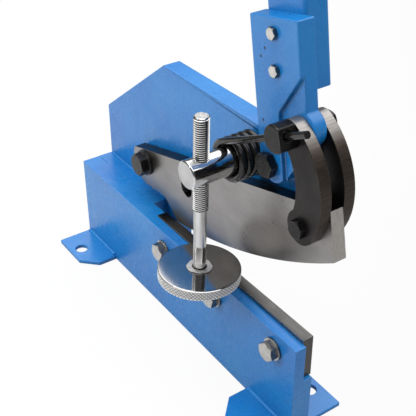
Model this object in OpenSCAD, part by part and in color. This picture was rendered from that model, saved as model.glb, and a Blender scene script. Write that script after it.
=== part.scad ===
// Bench lever shear with a hold-down clamp and a torsion return spring.
// The origin is on the bench, in the middle of the four foot bolts. X runs from the
// blade pivot towards the lever, Y from the clamp side to the upright plate, Z is up.

/* [Bed] */
// Length of the bed bar
bed_length = 330; // [320:1:380]
// Thickness of the bed bar
bed_thickness = 18; // [16:0.5:22]
// Height of the bed bar
bed_height = 87; // [80:1:100]
// Wall that is left of the bed beside the lower blade
bed_wall = 9.6; // [8:0.1:11]

/* [Feet] */
// Length of a foot along the bed
foot_length = 56; // [50:1:70]
// How far a foot stands out of the bed's side
foot_reach = 33.6; // [31:0.1:45]
// Thickness of a foot
foot_thickness = 4.1; // [3:0.1:8]
// Corner that is cut off each foot
foot_chamfer = 15; // [8:1:18]
// Diameter of a foot's bolt hole
foot_hole_d = 12; // [8:0.5:13]
// Distance from the bed's end to a foot's hole
foot_hole_inset = 25; // [18:1:30]
// Distance from the bed's side to a foot's hole
foot_hole_out = 22.5; // [16:0.5:24]

/* [Upright plate] */
// Thickness of the upright plate
plate_thickness = 16.6; // [12:0.1:20]
// Height of the plate's lower edge above the bench
plate_foot = 35; // [30:1:45]
// Height of the plate's rear edge above the bed
plate_rear_rise = 53; // [40:1:70]
// Distance from the rear end to where the plate's slope ends
plate_slope_run = 104.4; // [90:1:120]
// Steel that the plate has above the lever's fulcrum
plate_above_fulcrum = 8.5; // [8.5:0.5:20]
// Rise of the plate's top edge towards the front
plate_top_rise = 3; // [0:0.5:6]
// Steel that the plate has beyond the lever's fulcrum
plate_past_fulcrum = 20; // [14:1:23]
// Length of the block between the bed and the plate
spacer_length = 104; // [90:1:108]

/* [Lower blade] */
// Length of the lower blade
lower_blade_length = 203.2; // [195:0.2:204]
// Height of the lower blade
lower_blade_height = 38.4; // [36:0.1:42]
// Thickness of the lower blade
lower_blade_thickness = 9.6; // [9:0.1:12]
// Distance from the bed's rear end to the lower blade
lower_blade_start = 123.7; // [118:0.1:126]
// How far the lower blade's rear corner stands above the bed
lower_blade_proud = 0.5; // [0.2:0.1:1.5]
// Rise of the lower blade towards the front, in degrees
lower_blade_rise = 0.82; // [0:0.01:1]
// Distance between the lower blade's bolts
blade_bolt_pitch = 77.5; // [60:0.5:80]
// Diameter of the lower blade's bolts
blade_bolt_d = 10; // [8:1:12]

/* [Upper blade] */
// Thickness of the upper blade, the lever's eye and the gap between the links
upper_blade_thickness = 11; // [8:0.5:12]
// Distance from the bed's rear end to the upper blade's pivot
blade_pivot_run = 91; // [88:0.5:93]
// Height of the upper blade's pivot above the bed
blade_pivot_rise = 37; // [36:0.5:40]
// Diameter of the upper blade's pivot bolt
blade_pivot_d = 12; // [10:0.5:14]
// Radius of the curved cutting edge
cutting_edge_radius = 500; // [420:10:800]
// Radius of the round lobe at the blade's pivot
pivot_lobe_radius = 21; // [19:0.5:24]
// Diameter of the hole that shears round bar
bar_hole_d = 15; // [8:0.5:16]
// Distance from the upper blade's pivot to the bar hole
bar_hole_run = 66; // [60:1:70]
// Height of the bar hole above the upper blade's pivot
bar_hole_rise = 6.5; // [4:0.5:9]

/* [Lever] */
// Distance from the bed's rear end to the lever's fulcrum
fulcrum_run = 270; // [267:0.5:271]
// Height of the lever's fulcrum above the bed
fulcrum_rise = 125; // [124:0.5:128]
// Lean of the lever towards the rear at rest, in degrees
lever_lean = 9.7; // [6:0.1:12]
// Width of the lever's head
lever_width = 50; // [44:0.5:52]
// Height of the lever's head above the fulcrum
lever_head_rise = 105; // [98:1:120]
// Extra thickness of the lever's head in front of its eye
lever_step = 3.4; // [2:0.1:4]
// Distance from the fulcrum to the lever's left edge
lever_hub_radius = 11; // [9:0.1:12]
// Radius of the lever's eye round the link pin
lever_eye_radius = 13.5; // [12:0.1:15]
// Diameter of the fulcrum bolt
fulcrum_d = 10; // [8:0.5:11]
// Distance from the fulcrum to the link pin across the lever
link_pin_across = 33.1; // [31:0.1:35]
// Distance from the fulcrum to the link pin along the lever
link_pin_along = 33.1; // [32:0.1:36]

/* [Links] */
// Thickness of each link
link_thickness = 9.5; // [6:0.5:10]
// Distance between a link's two holes
link_span = 68.1; // [67:0.1:70]
// Lean of the links at rest, in degrees
link_lean = 13.3; // [12:0.1:15]
// Radius of a link's upper end
link_top_radius = 10; // [9:0.1:12]
// Radius of a link's lower end
link_foot_radius = 13.3; // [12.5:0.1:14]
// Radius of a link's outer back
link_back_radius = 60; // [55:1:70]
// Radius of a link's hollow side
link_hollow_radius = 45; // [38:1:52]
// Width of a link at its middle
link_mid_width = 25.5; // [22:0.5:28]
// Diameter of the link pin's shank
link_pin_d = 12; // [10:0.5:13]
// Diameter of the link pin's threaded end
link_pin_end_d = 8; // [6:0.5:9]
// Diameter of the lower link bolt
link_bolt_d = 8; // [8:0.5:10.5]
// Diameter of the link pin's round head
post_d = 20.5; // [20:0.5:24]
// Height of the link pin's head in front of the near link
post_height = 14.4; // [14:0.1:19]
// Distance from the link pin's axis to the flat on its head
post_flat = 7; // [6.5:0.1:9]
// Turn of that flat above level, in degrees
post_flat_turn = 16; // [0:1:28]

/* [Return spring] */
// Diameter of the spring's wire
wire_d = 5.3; // [4.5:0.1:5.4]
// Mean radius of the spring's coil
coil_radius = 14.5; // [14.2:0.1:16]
// Distance from one turn to the next
coil_pitch = 5.95; // [5.85:0.01:6]
// Whole turns of the coil
coil_turns = 4; // [3:1:4]
// Length of the upper leg beyond the link pin's axis
leg_beyond_pin = 30; // [24:1:36]
// Reach of the lower leg before it bends into the plate
lower_leg_reach = 15; // [12:0.5:16]
// How deep the lower leg sits in the plate
leg_in_plate = 9; // [5:0.5:12]

/* [Hold-down clamp] */
// Diameter of the cross rod that carries the clamp
rod_d = 22; // [20:0.5:23]
// Distance from the bed's rear end to the cross rod
rod_run = 237; // [235:0.5:238]
// Height of the cross rod above the bed
rod_rise = 115.5; // [114:0.5:117]
// How far the cross rod stands in front of the bed's side
rod_reach = 33; // [30:0.5:40]
// Distance from the rod's end to the spindle
spindle_inset = 13; // [12:0.5:16]
// Diameter of the clamp spindle's thread
spindle_d = 12; // [10:0.5:14]
// Diameter of the spindle's smooth end
spindle_neck_d = 10; // [8:0.5:11]
// Height of the spindle's top above the bed
spindle_top_rise = 159.5; // [150:0.5:170]
// Distance from the rod down to where the thread ends
thread_below_rod = 22; // [18:0.5:34]
// Diameter of the clamp's knurled disc
disc_d = 66; // [56:1:70]
// Thickness of the clamp's disc
disc_thickness = 10; // [7:0.5:12]
// Height of the disc's lower face above the bed at rest
disc_rise = 18.5; // [15:0.5:25]

/* [Handle] */
// Width of the handle's tube
tube_width = 40; // [34:1:42]
// Depth of the handle's tube
tube_depth = 21; // [16:1:22]
// Wall of the handle's tube
tube_wall = 2; // [1.5:0.1:3]
// Outer radius of the tube's rounded corners
tube_corner = 3.5; // [3.2:0.1:6]
// Length of the handle's tube
tube_length = 420; // [360:10:500]
// Distance from the fulcrum to the tube's lower end
tube_start = 55; // [54:1:58]
// Length of the soft grip
grip_length = 110; // [90:5:140]
// Wall of the soft grip
grip_wall = 3; // [2:0.5:5]
// Diameter of the two handle bolts
handle_bolt_d = 5; // [5:0.5:7]
// Distance between the two handle bolts
handle_bolt_pitch = 25.2; // [20:0.2:28]

/* [Hidden] */
$fn = 64;

// Running clearances and fastener proportions
flat_gap = 0.2;
shank_gap = 0.05;
shear_gap = 0.1;
washer_t = 2;
thin_washer_t = 1;
thin_nut_height = 4;
blade_bolt_flats = 15;
blade_bolt_turns = [40, 45, 17];
bevel = 1;
SMALL = 0.01;

function across_flats(d) = d == 6 ? 10 : d == 10 ? 17 : d == 12 ? 19 : d == 16 ? 24 : 1.6 * d;
function head_height(d) = 0.64 * d;
function nut_height(d) = 0.82 * d;
function polar(r, a) = [r * cos(a), r * sin(a)];
function turned(v, a) = [v.x * cos(a) + v.y * sin(a), v.y * cos(a) - v.x * sin(a)];
function unit(v) = v / norm(v);

// Faces across the bed, from the clamp side to the back
bed_near = -bed_thickness / 2;
bed_far = bed_thickness / 2;
lower_blade_near = bed_near + bed_wall;
lower_blade_far = lower_blade_near + lower_blade_thickness;
blade_near = lower_blade_far + shear_gap;
blade_far = blade_near + upper_blade_thickness;
near_link_near = blade_near - shear_gap - link_thickness;
far_link_near = blade_far + flat_gap;
far_link_far = far_link_near + link_thickness;
lever_near = blade_near + flat_gap - lever_step - shear_gap;
lever_eye_near = lever_near + lever_step;
lever_far = blade_far + flat_gap / 2;
pivot_spacer_t = 1.6;
pivot_collar_t = 2.5;
plate_near = blade_far + pivot_spacer_t + flat_gap;
plate_far = plate_near + plate_thickness;

// Heights and places in the side view, as [x, z]
rear = -bed_length / 2;
front = bed_length / 2;
blade_pivot = [rear + blade_pivot_run, bed_height + blade_pivot_rise];
fulcrum = [rear + fulcrum_run, bed_height + fulcrum_rise];
rod = [rear + rod_run, bed_height + rod_rise];
link_pin = fulcrum + turned([link_pin_across, link_pin_along], -lever_lean);
link_foot = link_pin + polar(link_span, link_lean - 90);
lower_blade_rear = [rear + lower_blade_start,
                    bed_height + lower_blade_proud - lower_blade_height];
blade_bolt_z = lower_blade_height / 2;
blade_bolt_first = lower_blade_length / 2 - blade_bolt_pitch + 1.5;

// The lever turns this far; the blade and the links turn these shares of it
lever_travel = 90;
blade_share = 0.187;
link_share = 0.10;

// Place of the lower link bolt in the turning blade when the lever has turned by a
function bolt_in_blade(a) =
    let (pin = fulcrum + turned(link_pin - fulcrum, a),
         foot = pin + turned(link_foot - link_pin, link_share * a))
    blade_pivot + turned(foot - blade_pivot, -blade_share * a);
slot_front = bolt_in_blade(0.45 * lever_travel);
slot_rear = bolt_in_blade(lever_travel);
slot_r = link_bolt_d / 2 + 1.3;

// Upper blade outline, from its pivot and from the lower link bolt
blade_corner = link_foot + [18.7, 20.1];
blade_toe = link_foot + [26.9, -17.6];
blade_heel = blade_pivot + [50, -36.5];
blade_top_left = blade_pivot + [-5, 11.6];
bar_hole = blade_pivot + [bar_hole_run, bar_hole_rise];
die_d = bar_hole_d + 12;

// Return spring: the upper leg leaves the coil on a tangent and runs through the post
pin_from_rod = link_pin - rod;
leg_angle = atan2(pin_from_rod.y, pin_from_rod.x) - asin(coil_radius / norm(pin_from_rod));
leg_y = near_link_near - post_height / 2;
leg_to_pin = sqrt(pow(norm(pin_from_rod), 2) - pow(coil_radius, 2));
coil_start = leg_angle + 90;
coil_end = 270 + 360 * coil_turns;
coil_far = leg_y + coil_pitch * (coil_end - coil_start) / 360;
rings_per_turn = 8;
coil_rings = ceil((coil_end - coil_start) / 360 * rings_per_turn);
ring_step = (coil_end - coil_start) / coil_rings;
coil_corner_radius = 2 * coil_radius / (1 + cos(ring_step / 2));

// Clamp
rod_near = bed_near - rod_reach;
spindle_y = rod_near + spindle_inset;
spigot_d = rod_d - 6;
thread_end = rod.y - rod_d / 2 - thread_below_rod;
disc_low = bed_height + disc_rise;
disc_high = disc_low + disc_thickness;

// Handle, in the lever's own frame: x across it, z along it, origin at the fulcrum
tube_left = -lever_hub_radius;
handle_bolt_x = tube_left + tube_width * 5 / 8;
handle_bolt_low = tube_start + 15.3;
step_x = lever_hub_radius + 2.8;
hub_run = 3;
hub_r = lever_hub_radius + hub_run;

// Bodies that are drawn by more than one sub-part

module along_y(p, y0) translate([p.x, y0, p.y]) rotate([-90, 0, 0]) children();

module side_profile(y0, y1)
    translate([0, y1, 0]) rotate([90, 0, 0]) linear_extrude(y1 - y0) children();

module lever_frame() translate([fulcrum.x, 0, fulcrum.y]) rotate([0, -lever_lean, 0]) children();

// Hexagon whose outer corners are turned down to a flat cone
module hex_head(flats, h) intersection() {
    cylinder(h = h, r = flats / sqrt(3), $fn = 6);
    cylinder(h = h, r1 = flats / 2 + h / tan(30), r2 = flats / 2 - bevel / 3);
}

// A bolt along +Y whose head rests on the face y and whose shank ends at y_end
module bolt(p, y, y_end, d, turn = 0, flats = 0) {
    along_y(p, y - head_height(d)) rotate([180, 0, turn]) translate([0, 0, -head_height(d)])
        hex_head(flats > 0 ? flats : across_flats(d), head_height(d));
    along_y(p, y - SMALL) cylinder(h = y_end - y + SMALL, d = d);
}

// A nut along +Y that rests on the face y
module nut(p, y, d, turn = 0, thin = 0) {
    high = thin > 0 ? thin : nut_height(d);
    difference() {
        along_y(p, y) rotate(turn) hex_head(across_flats(d), high);
        along_y(p, y - 1) cylinder(h = high + 2, d = d + 2 * shank_gap);
    }
}

module ring(p, y0, y1, d_in, d_out) along_y(p, y0) difference() {
    cylinder(h = y1 - y0, d = d_out);
    translate([0, 0, -1]) cylinder(h = y1 - y0 + 2, d = d_in);
}

module hole(p, y0, y1, d) along_y(p, y0 - 1) cylinder(h = y1 - y0 + 2, d = d);

module rounded_rect(w, d, r) {
    translate([r, 0]) square([w - 2 * r, d]);
    translate([0, r]) square([w, d - 2 * r]);
    for (x = [r, w - r], y = [r, d - r]) translate([x, y]) circle(r);
}

// Two discs and the belt of steel between them, in the side view
module belt(c1, r1, c2, r2) {
    run = c2 - c1;
    base = atan2(run.y, run.x);
    off = acos((r1 - r2) / norm(run));
    translate(c1) circle(r1);
    translate(c2) circle(r2);
    polygon([c1 + polar(r1, base + off), c2 + polar(r2, base + off),
             c2 + polar(r2, base - off), c1 + polar(r1, base - off)]);
}

module lower_blade_frame() translate([lower_blade_rear.x, 0, lower_blade_rear.y])
    rotate([0, -lower_blade_rise, 0]) children();

function lower_blade_bolt(i) = [blade_bolt_first + i * blade_bolt_pitch, blade_bolt_z];

// Sub-parts of the frame

module bed_bar() color("royalblue") difference() {
    translate([rear, bed_near, 0]) cube([bed_length, bed_thickness, bed_height]);
    lower_blade_frame() translate([0, lower_blade_near, 0])
        cube([bed_length, bed_thickness, bed_height]);
    lower_blade_frame() for (i = [0:2])
        hole(lower_blade_bolt(i), bed_near, lower_blade_near, blade_bolt_d + 2 * shank_gap);
}

module foot(end, side) color("royalblue") {
    base = side < 0 ? bed_near : bed_far;
    mirror([end > 0 ? 1 : 0, 0, 0]) translate([rear, base, 0]) mirror([0, side < 0 ? 1 : 0, 0])
        difference() {
            linear_extrude(foot_thickness) polygon([
                [0, 0], [foot_length, 0], [foot_length, foot_reach - foot_chamfer],
                [foot_length - foot_chamfer, foot_reach], [0, foot_reach]]);
            translate([foot_hole_inset, foot_hole_out, -1])
                cylinder(h = foot_thickness + 2, d = foot_hole_d);
        }
}

module spacer_block() color("royalblue")
    translate([rear, bed_far, plate_foot])
        cube([spacer_length, plate_near - bed_far, bed_height - plate_foot]);

module upright_plate() color("royalblue") {
    top = fulcrum.y + plate_above_fulcrum;
    right = fulcrum.x + plate_past_fulcrum;
    neck = rear + lower_blade_start - 4;
    difference() {
        side_profile(plate_near, plate_far) polygon([
            [rear, plate_foot], [neck, plate_foot], [neck, bed_height + 5],
            [neck + 5, bed_height + 10], [right, fulcrum.y - 42], [right, top + plate_top_rise],
            [rear + plate_slope_run, top], [rear, bed_height + plate_rear_rise]]);
        hole(blade_pivot, plate_near, plate_far, blade_pivot_d + 2 * shank_gap);
        hole(fulcrum, plate_near, plate_far, fulcrum_d + 2 * shank_gap);
        hole(rod, plate_near, plate_far, spigot_d + 2 * shank_gap);
        hole(bar_hole, plate_near, plate_far, die_d + 2 * shank_gap);
        hole(rod + [lower_leg_reach, -coil_radius], plate_near, plate_near + leg_in_plate,
             wire_d + 0.8);
    }
}

// Hardened die that the round bar is sheared against; its face runs behind the blade
module bar_die() color("dimgray")
    ring(bar_hole, blade_far + flat_gap, plate_far, bar_hole_d, die_d);

module lower_blade() color("gray") lower_blade_frame() difference() {
    translate([0, lower_blade_near, 0])
        cube([lower_blade_length, lower_blade_thickness, lower_blade_height]);
    for (i = [0:2])
        hole(lower_blade_bolt(i), lower_blade_near, lower_blade_far, blade_bolt_d + 2 * shank_gap);
}

module lower_blade_bolts() color("silver") lower_blade_frame() for (i = [0:2])
    bolt(lower_blade_bolt(i), bed_near - washer_t, lower_blade_far - 1, blade_bolt_d,
         blade_bolt_turns[i], blade_bolt_flats);

module lower_blade_washers() color("silver") lower_blade_frame() for (i = [0:2])
    ring(lower_blade_bolt(i), bed_near - washer_t, bed_near, blade_bolt_d + 2 * shank_gap,
         blade_bolt_flats + 4);

module blade_pivot_bolt() color("dimgray") {
    collar_near = blade_near - flat_gap - pivot_collar_t;
    along_y(blade_pivot, collar_near) cylinder(h = pivot_collar_t, d = 2 * blade_pivot_d);
    bolt(blade_pivot, collar_near, plate_far + washer_t + nut_height(blade_pivot_d) + 3,
         blade_pivot_d, 12);
}

module blade_pivot_spacer() color("dimgray")
    ring(blade_pivot, plate_near - pivot_spacer_t, plate_near, blade_pivot_d + 2 * shank_gap,
         2 * blade_pivot_d);

module blade_pivot_nut() color("dimgray") nut(blade_pivot, plate_far + washer_t, blade_pivot_d, 12);

module fulcrum_bolt() color("dimgray")
    bolt(fulcrum, lever_near - flat_gap, plate_far + nut_height(fulcrum_d) + 3, fulcrum_d, -13);

module fulcrum_spacer() color("dimgray")
    ring(fulcrum, lever_far + flat_gap, plate_near, fulcrum_d + 2 * shank_gap,
         2 * plate_above_fulcrum - 0.4);

module fulcrum_nut() color("dimgray") nut(fulcrum, plate_far, fulcrum_d, 30);

module rear_washers() color("dimgray") {
    ring(blade_pivot, plate_far, plate_far + washer_t, blade_pivot_d + 2 * shank_gap,
         2 * blade_pivot_d);
    ring(rod, plate_far, plate_far + washer_t, spigot_d + 2 * shank_gap, rod_d + 6);
}

// Cross rod of the clamp, with a spigot through the plate and a hole for the spindle
module hold_down_rod() color("gainsboro") difference() {
    union() {
        along_y(rod, rod_near) cylinder(h = bevel, d1 = rod_d - 2 * bevel, d2 = rod_d);
        along_y(rod, rod_near + bevel) cylinder(h = plate_near - rod_near - bevel, d = rod_d);
        along_y(rod, plate_near - SMALL)
            cylinder(h = plate_thickness + washer_t + nut_height(spigot_d) + 3, d = spigot_d);
    }
    translate([rod.x, spindle_y, rod.y - rod_d])
        cylinder(h = 2 * rod_d, d = spindle_d + 2 * shank_gap);
}

module hold_down_nut() color("dimgray") nut(rod, plate_far + washer_t, spigot_d);

// Return spring: one unbroken wire, as [place, direction, side] along its middle line
leg_dir = [cos(leg_angle), 0, sin(leg_angle)];
leg_side = [cos(coil_start), 0, sin(coil_start)];
leg_base = [rod.x, leg_y, rod.y] + coil_radius * leg_side;
leg_tip = leg_base + (leg_to_pin + leg_beyond_pin) * leg_dir;
bend_r = 4.2;
upper_leg = concat(
    [[leg_tip - [0, bend_r + 3, 0], [0, 1, 0], leg_side]],
    [for (a = [0:30:90])
        [leg_tip + bend_r * ((cos(a) - 1) * leg_dir + [0, sin(a) - 1, 0]),
         [0, cos(a), 0] - sin(a) * leg_dir, leg_side]],
    [[leg_base + leg_to_pin / 2 * leg_dir, -leg_dir, leg_side],
     [leg_base, -leg_dir, leg_side]]);
coil_rise = coil_pitch / (2 * PI * coil_radius);
coil_path = [for (i = [1:coil_rings - 1])
    let (a = coil_start + i * ring_step)
    [[rod.x + coil_corner_radius * cos(a), leg_y + coil_pitch * (a - coil_start) / 360,
      rod.y + coil_corner_radius * sin(a)],
     unit([-sin(a), coil_rise, cos(a)]), [cos(a), 0, sin(a)]]];
leg_low = [rod.x, coil_far, rod.y - coil_radius];
lower_leg = concat(
    [[leg_low, [1, 0, 0], [0, 0, -1]]],
    [for (a = [0:30:90])
        [leg_low + [lower_leg_reach - bend_r * (1 - sin(a)), bend_r * (1 - cos(a)), 0],
         [cos(a), sin(a), 0], [0, 0, -1]]],
    [[[leg_low.x + lower_leg_reach, plate_near + leg_in_plate - 1, leg_low.z],
      [0, 1, 0], [0, 0, -1]]]);
spring_path = concat(upper_leg, coil_path, lower_leg);
wire_sides = 6;
function wire_ring(s) = [for (k = [0:wire_sides - 1])
    let (a = 360 / wire_sides * (k + 0.5))
    s[0] + wire_d / 2 * (cos(a) * s[2] + sin(a) * cross(s[1], s[2]))];

module torsion_spring() color("#222222") {
    n = len(spring_path);
    side_faces = [for (i = [0:n - 2], k = [0:wire_sides - 1], half = [0, 1])
        let (p = i * wire_sides + k, q = i * wire_sides + (k + 1) % wire_sides)
        half == 0 ? [p, q, q + wire_sides] : [p, q + wire_sides, p + wire_sides]];
    start_faces = [for (k = [1:wire_sides - 2]) [0, k + 1, k]];
    end_faces = [for (k = [1:wire_sides - 2])
        [(n - 1) * wire_sides, (n - 1) * wire_sides + k, (n - 1) * wire_sides + k + 1]];
    polyhedron([for (s = spring_path) each wire_ring(s)],
               concat(side_faces, start_faces, end_faces));
}

// Least distance between turns that don't follow each other, less the wire
coil_gap = min([for (i = [0:len(coil_path) - 1], j = [0:len(coil_path) - 1])
    if (j >= i + rings_per_turn - 2) norm(coil_path[i][0] - coil_path[j][0])]) - wire_d;
echo("least gap between the spring's turns", coil_gap);

// Sub-parts of the lever

module lever_thin_outline() {
    eye = [link_pin_across, link_pin_along];
    belt([hub_run, 0], hub_r, eye, lever_eye_radius);
    polygon([[-lever_hub_radius, 0], eye + [0, -6], [lever_width - lever_hub_radius, link_pin_along],
             [lever_width - lever_hub_radius, lever_head_rise + 2], [-lever_hub_radius, lever_head_rise]]);
}

module lever_thick_outline() {
    right = lever_width - lever_hub_radius;
    intersection() {
        translate([hub_run, 0]) circle(hub_r);
        translate([-lever_hub_radius, -hub_r]) square([lever_hub_radius + step_x, 2 * hub_r]);
    }
    polygon([[-lever_hub_radius, 0], [step_x, 0], [step_x, 38.5], [step_x + 1, 42], [right, 69.7],
             [right, lever_head_rise + 2], [-lever_hub_radius, lever_head_rise]]);
}

module lever_head() color("royalblue") difference() {
    lever_frame() union() {
        side_profile(lever_eye_near, lever_far) lever_thin_outline();
        side_profile(lever_near, lever_eye_near + SMALL) lever_thick_outline();
    }
    hole(fulcrum, lever_near, lever_far, fulcrum_d + 2 * shank_gap);
    hole(link_pin, lever_near, lever_far, link_pin_d + 2 * shank_gap);
    lever_frame() for (i = [0, 1])
        hole([handle_bolt_x, handle_bolt_low + i * handle_bolt_pitch], lever_near, lever_far,
             handle_bolt_d + 2 * shank_gap);
}

module handle_tube() color("royalblue") lever_frame() difference() {
    translate([tube_left, lever_far, tube_start]) linear_extrude(tube_length)
        rounded_rect(tube_width, tube_depth, tube_corner);
    translate([tube_left + tube_wall, lever_far + tube_wall, tube_start - 1])
        linear_extrude(tube_length + 2)
            rounded_rect(tube_width - 2 * tube_wall, tube_depth - 2 * tube_wall,
                         tube_corner - tube_wall);
    for (i = [0, 1])
        hole([handle_bolt_x, handle_bolt_low + i * handle_bolt_pitch], lever_far,
             lever_far + tube_depth, handle_bolt_d + 2 * shank_gap);
}

module handle_grip() color("#222222") lever_frame() {
    low = tube_start + tube_length - grip_length;
    difference() {
        translate([tube_left - grip_wall, lever_far - grip_wall, low])
            linear_extrude(grip_length + grip_wall)
                rounded_rect(tube_width + 2 * grip_wall, tube_depth + 2 * grip_wall,
                             tube_corner + grip_wall);
        translate([tube_left, lever_far, low - 1]) linear_extrude(grip_length + 1)
            rounded_rect(tube_width, tube_depth, tube_corner);
    }
}

module handle_bolts() color("silver") lever_frame() for (i = [0, 1])
    bolt([handle_bolt_x, handle_bolt_low + i * handle_bolt_pitch], lever_near,
         lever_far + tube_depth + nut_height(handle_bolt_d) + 2, handle_bolt_d, 10);

module handle_nuts() color("silver") lever_frame() for (i = [0, 1])
    nut([handle_bolt_x, handle_bolt_low + i * handle_bolt_pitch], lever_far + tube_depth,
        handle_bolt_d, 10);

// The upper blade: a curved edge below, a straight back above, a round lobe at the pivot

module upper_blade_outline() {
    chord = blade_toe - blade_heel;
    half = norm(chord) / 2;
    middle = (blade_toe + blade_heel) / 2;
    normal = [-chord.y, chord.x] / norm(chord);
    centre = middle + sqrt(pow(cutting_edge_radius, 2) - half * half) * normal;
    sweep = asin(half / cutting_edge_radius);
    down = atan2(-normal.y, -normal.x);
    steps = 24;
    edge = [for (i = [0:steps])
        centre + polar(cutting_edge_radius, down - sweep + 2 * sweep * i / steps)];
    lobe = blade_pivot + [-1, -3];
    top_dir = unit(blade_corner - blade_top_left);
    top_up = [-top_dir.y, top_dir.x];
    toe_up = unit(blade_corner - blade_toe);
    over = 4;
    trim_along = 3 * pivot_lobe_radius * top_dir;
    trim_up = 3 * pivot_lobe_radius * top_up;
    difference() {
        union() {
            translate(lobe) circle(pivot_lobe_radius);
            polygon(concat(edge, [blade_corner + over * toe_up, blade_top_left + over * top_up,
                                  lobe + [-8, -8], lobe + [-2, -16], lobe + [11, -20.7],
                                  blade_pivot + [20, -21], blade_pivot + [31, -21.5],
                                  blade_pivot + [38, -25.7]]));
        }
        polygon([blade_top_left - trim_along, blade_corner + trim_along,
                 blade_corner + trim_along + trim_up, blade_top_left - trim_along + trim_up]);
    }
}

module upper_blade() color("gray") difference() {
    side_profile(blade_near, blade_far) upper_blade_outline();
    hole(blade_pivot, blade_near, blade_far, blade_pivot_d + 2 * shank_gap);
    hole(bar_hole, blade_near, blade_far, bar_hole_d + 1);
    hole(slot_front, blade_near, blade_far, 2 * slot_r);
    hole(slot_rear, blade_near, blade_far, 2 * slot_r);
    slot = slot_front - slot_rear;
    slot_side = slot_r - 0.1;
    translate([slot_rear.x, 0, slot_rear.y]) rotate([0, -atan2(slot.y, slot.x), 0])
        translate([0, blade_near - 1, -slot_side])
            cube([norm(slot), upper_blade_thickness + 2, 2 * slot_side]);
}

// Sub-parts of the links

module link_outline() {
    chord = link_foot - link_pin;
    out = [-chord.y, chord.x] / link_span;
    to_pin = link_back_radius - link_top_radius;
    to_foot = link_back_radius - link_foot_radius;
    along = (link_span + (to_pin * to_pin - to_foot * to_foot) / link_span) / 2;
    side = sqrt(to_pin * to_pin - along * along);
    back = link_pin + along * unit(chord) - side * out;
    middle = (link_pin + link_foot) / 2;
    bulge = link_back_radius - side;
    hollow = middle + (bulge - link_mid_width - link_hollow_radius) * out;
    reach = 2 * link_back_radius;
    translate(link_pin) circle(link_top_radius);
    translate(link_foot) circle(link_foot_radius);
    difference() {
        intersection() {
            translate(back) circle(link_back_radius, $fn = 128);
            polygon([back, back + reach * unit(link_pin - back),
                     middle + reach * out, back + reach * unit(link_foot - back)]);
        }
        translate(hollow) circle(link_hollow_radius, $fn = 128);
    }
}

module link(y0) color("#333333") difference() {
    side_profile(y0, y0 + link_thickness) link_outline();
    hole(link_pin, y0, y0 + link_thickness, link_pin_d + 2 * shank_gap);
    hole(link_foot, y0, y0 + link_thickness, link_bolt_d + 2 * shank_gap);
}

module near_link() link(near_link_near);

module far_link() link(far_link_near);

module link_bolt() color("#333333")
    bolt(link_foot, near_link_near, far_link_far + nut_height(link_bolt_d) + 2.5, link_bolt_d, -19);

module link_bolt_nut() color("#333333") nut(link_foot, far_link_far, link_bolt_d, -19);

// Link pin: a tall round head with a flat and a cross hole for the spring, a shank and a
// thinner threaded end, on whose shoulder the washer sits
module link_pin_post() color("#333333") difference() {
    post_front = near_link_near - flat_gap - post_height;
    shoulder = far_link_far + flat_gap;
    union() {
        along_y(link_pin, post_front) cylinder(h = bevel, d1 = post_d - 2 * bevel, d2 = post_d);
        along_y(link_pin, post_front + bevel) cylinder(h = post_height - bevel, d = post_d);
        along_y(link_pin, post_front + post_height - SMALL)
            cylinder(h = shoulder - post_front - post_height + SMALL, d = link_pin_d);
        along_y(link_pin, shoulder - SMALL)
            cylinder(h = thin_washer_t + thin_nut_height + SMALL, d = link_pin_end_d);
    }
    translate([link_pin.x, post_front - post_height, link_pin.y])
        rotate([0, -post_flat_turn, 0]) translate([post_flat, 0, -post_d])
            cube([post_d, 2 * post_height, 2 * post_d]);
    translate([link_pin.x, leg_y, link_pin.y]) rotate([0, 90 - leg_angle, 0])
        translate([0, 0, -post_d]) cylinder(h = 2 * post_d, d = wire_d + 3.4);
}

module link_pin_washer() color("#333333")
    ring(link_pin, far_link_far + flat_gap, far_link_far + flat_gap + thin_washer_t,
         link_pin_end_d + 2 * shank_gap, link_pin_d + 3);

module link_pin_nut() color("#333333")
    nut(link_pin, far_link_far + flat_gap + thin_washer_t, link_pin_end_d, 5, thin_nut_height);

// Sub-parts of the clamp

module clamp_spindle() color("gainsboro") translate([rod.x, spindle_y, 0]) {
    top = bed_height + spindle_top_rise;
    translate([0, 0, disc_low + 0.5])
        cylinder(h = thread_end - disc_low - 0.5 + SMALL, d = spindle_neck_d);
    translate([0, 0, thread_end]) cylinder(h = top - thread_end - bevel, d = spindle_d);
    translate([0, 0, top - bevel]) cylinder(h = bevel, d1 = spindle_d, d2 = spindle_d - 2 * bevel);
}

module clamp_disc() color("silver") translate([rod.x, spindle_y, disc_low]) difference() {
    rotate_extrude($fn = 96) polygon([
        [0, 0], [disc_d / 2 - 1.2, 0], [disc_d / 2, 1.2], [disc_d / 2, disc_thickness - 1.2],
        [disc_d / 2 - 1.2, disc_thickness], [0, disc_thickness]]);
    translate([0, 0, -1]) cylinder(h = disc_thickness + 2, d = spindle_neck_d + 2 * shank_gap);
}

module clamp_collar() color("silver") translate([rod.x, spindle_y, disc_high]) difference() {
    cylinder(h = 0.6, d = 21);
    translate([0, 0, -1]) cylinder(h = 3, d = spindle_neck_d + 2 * shank_gap);
}

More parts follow.
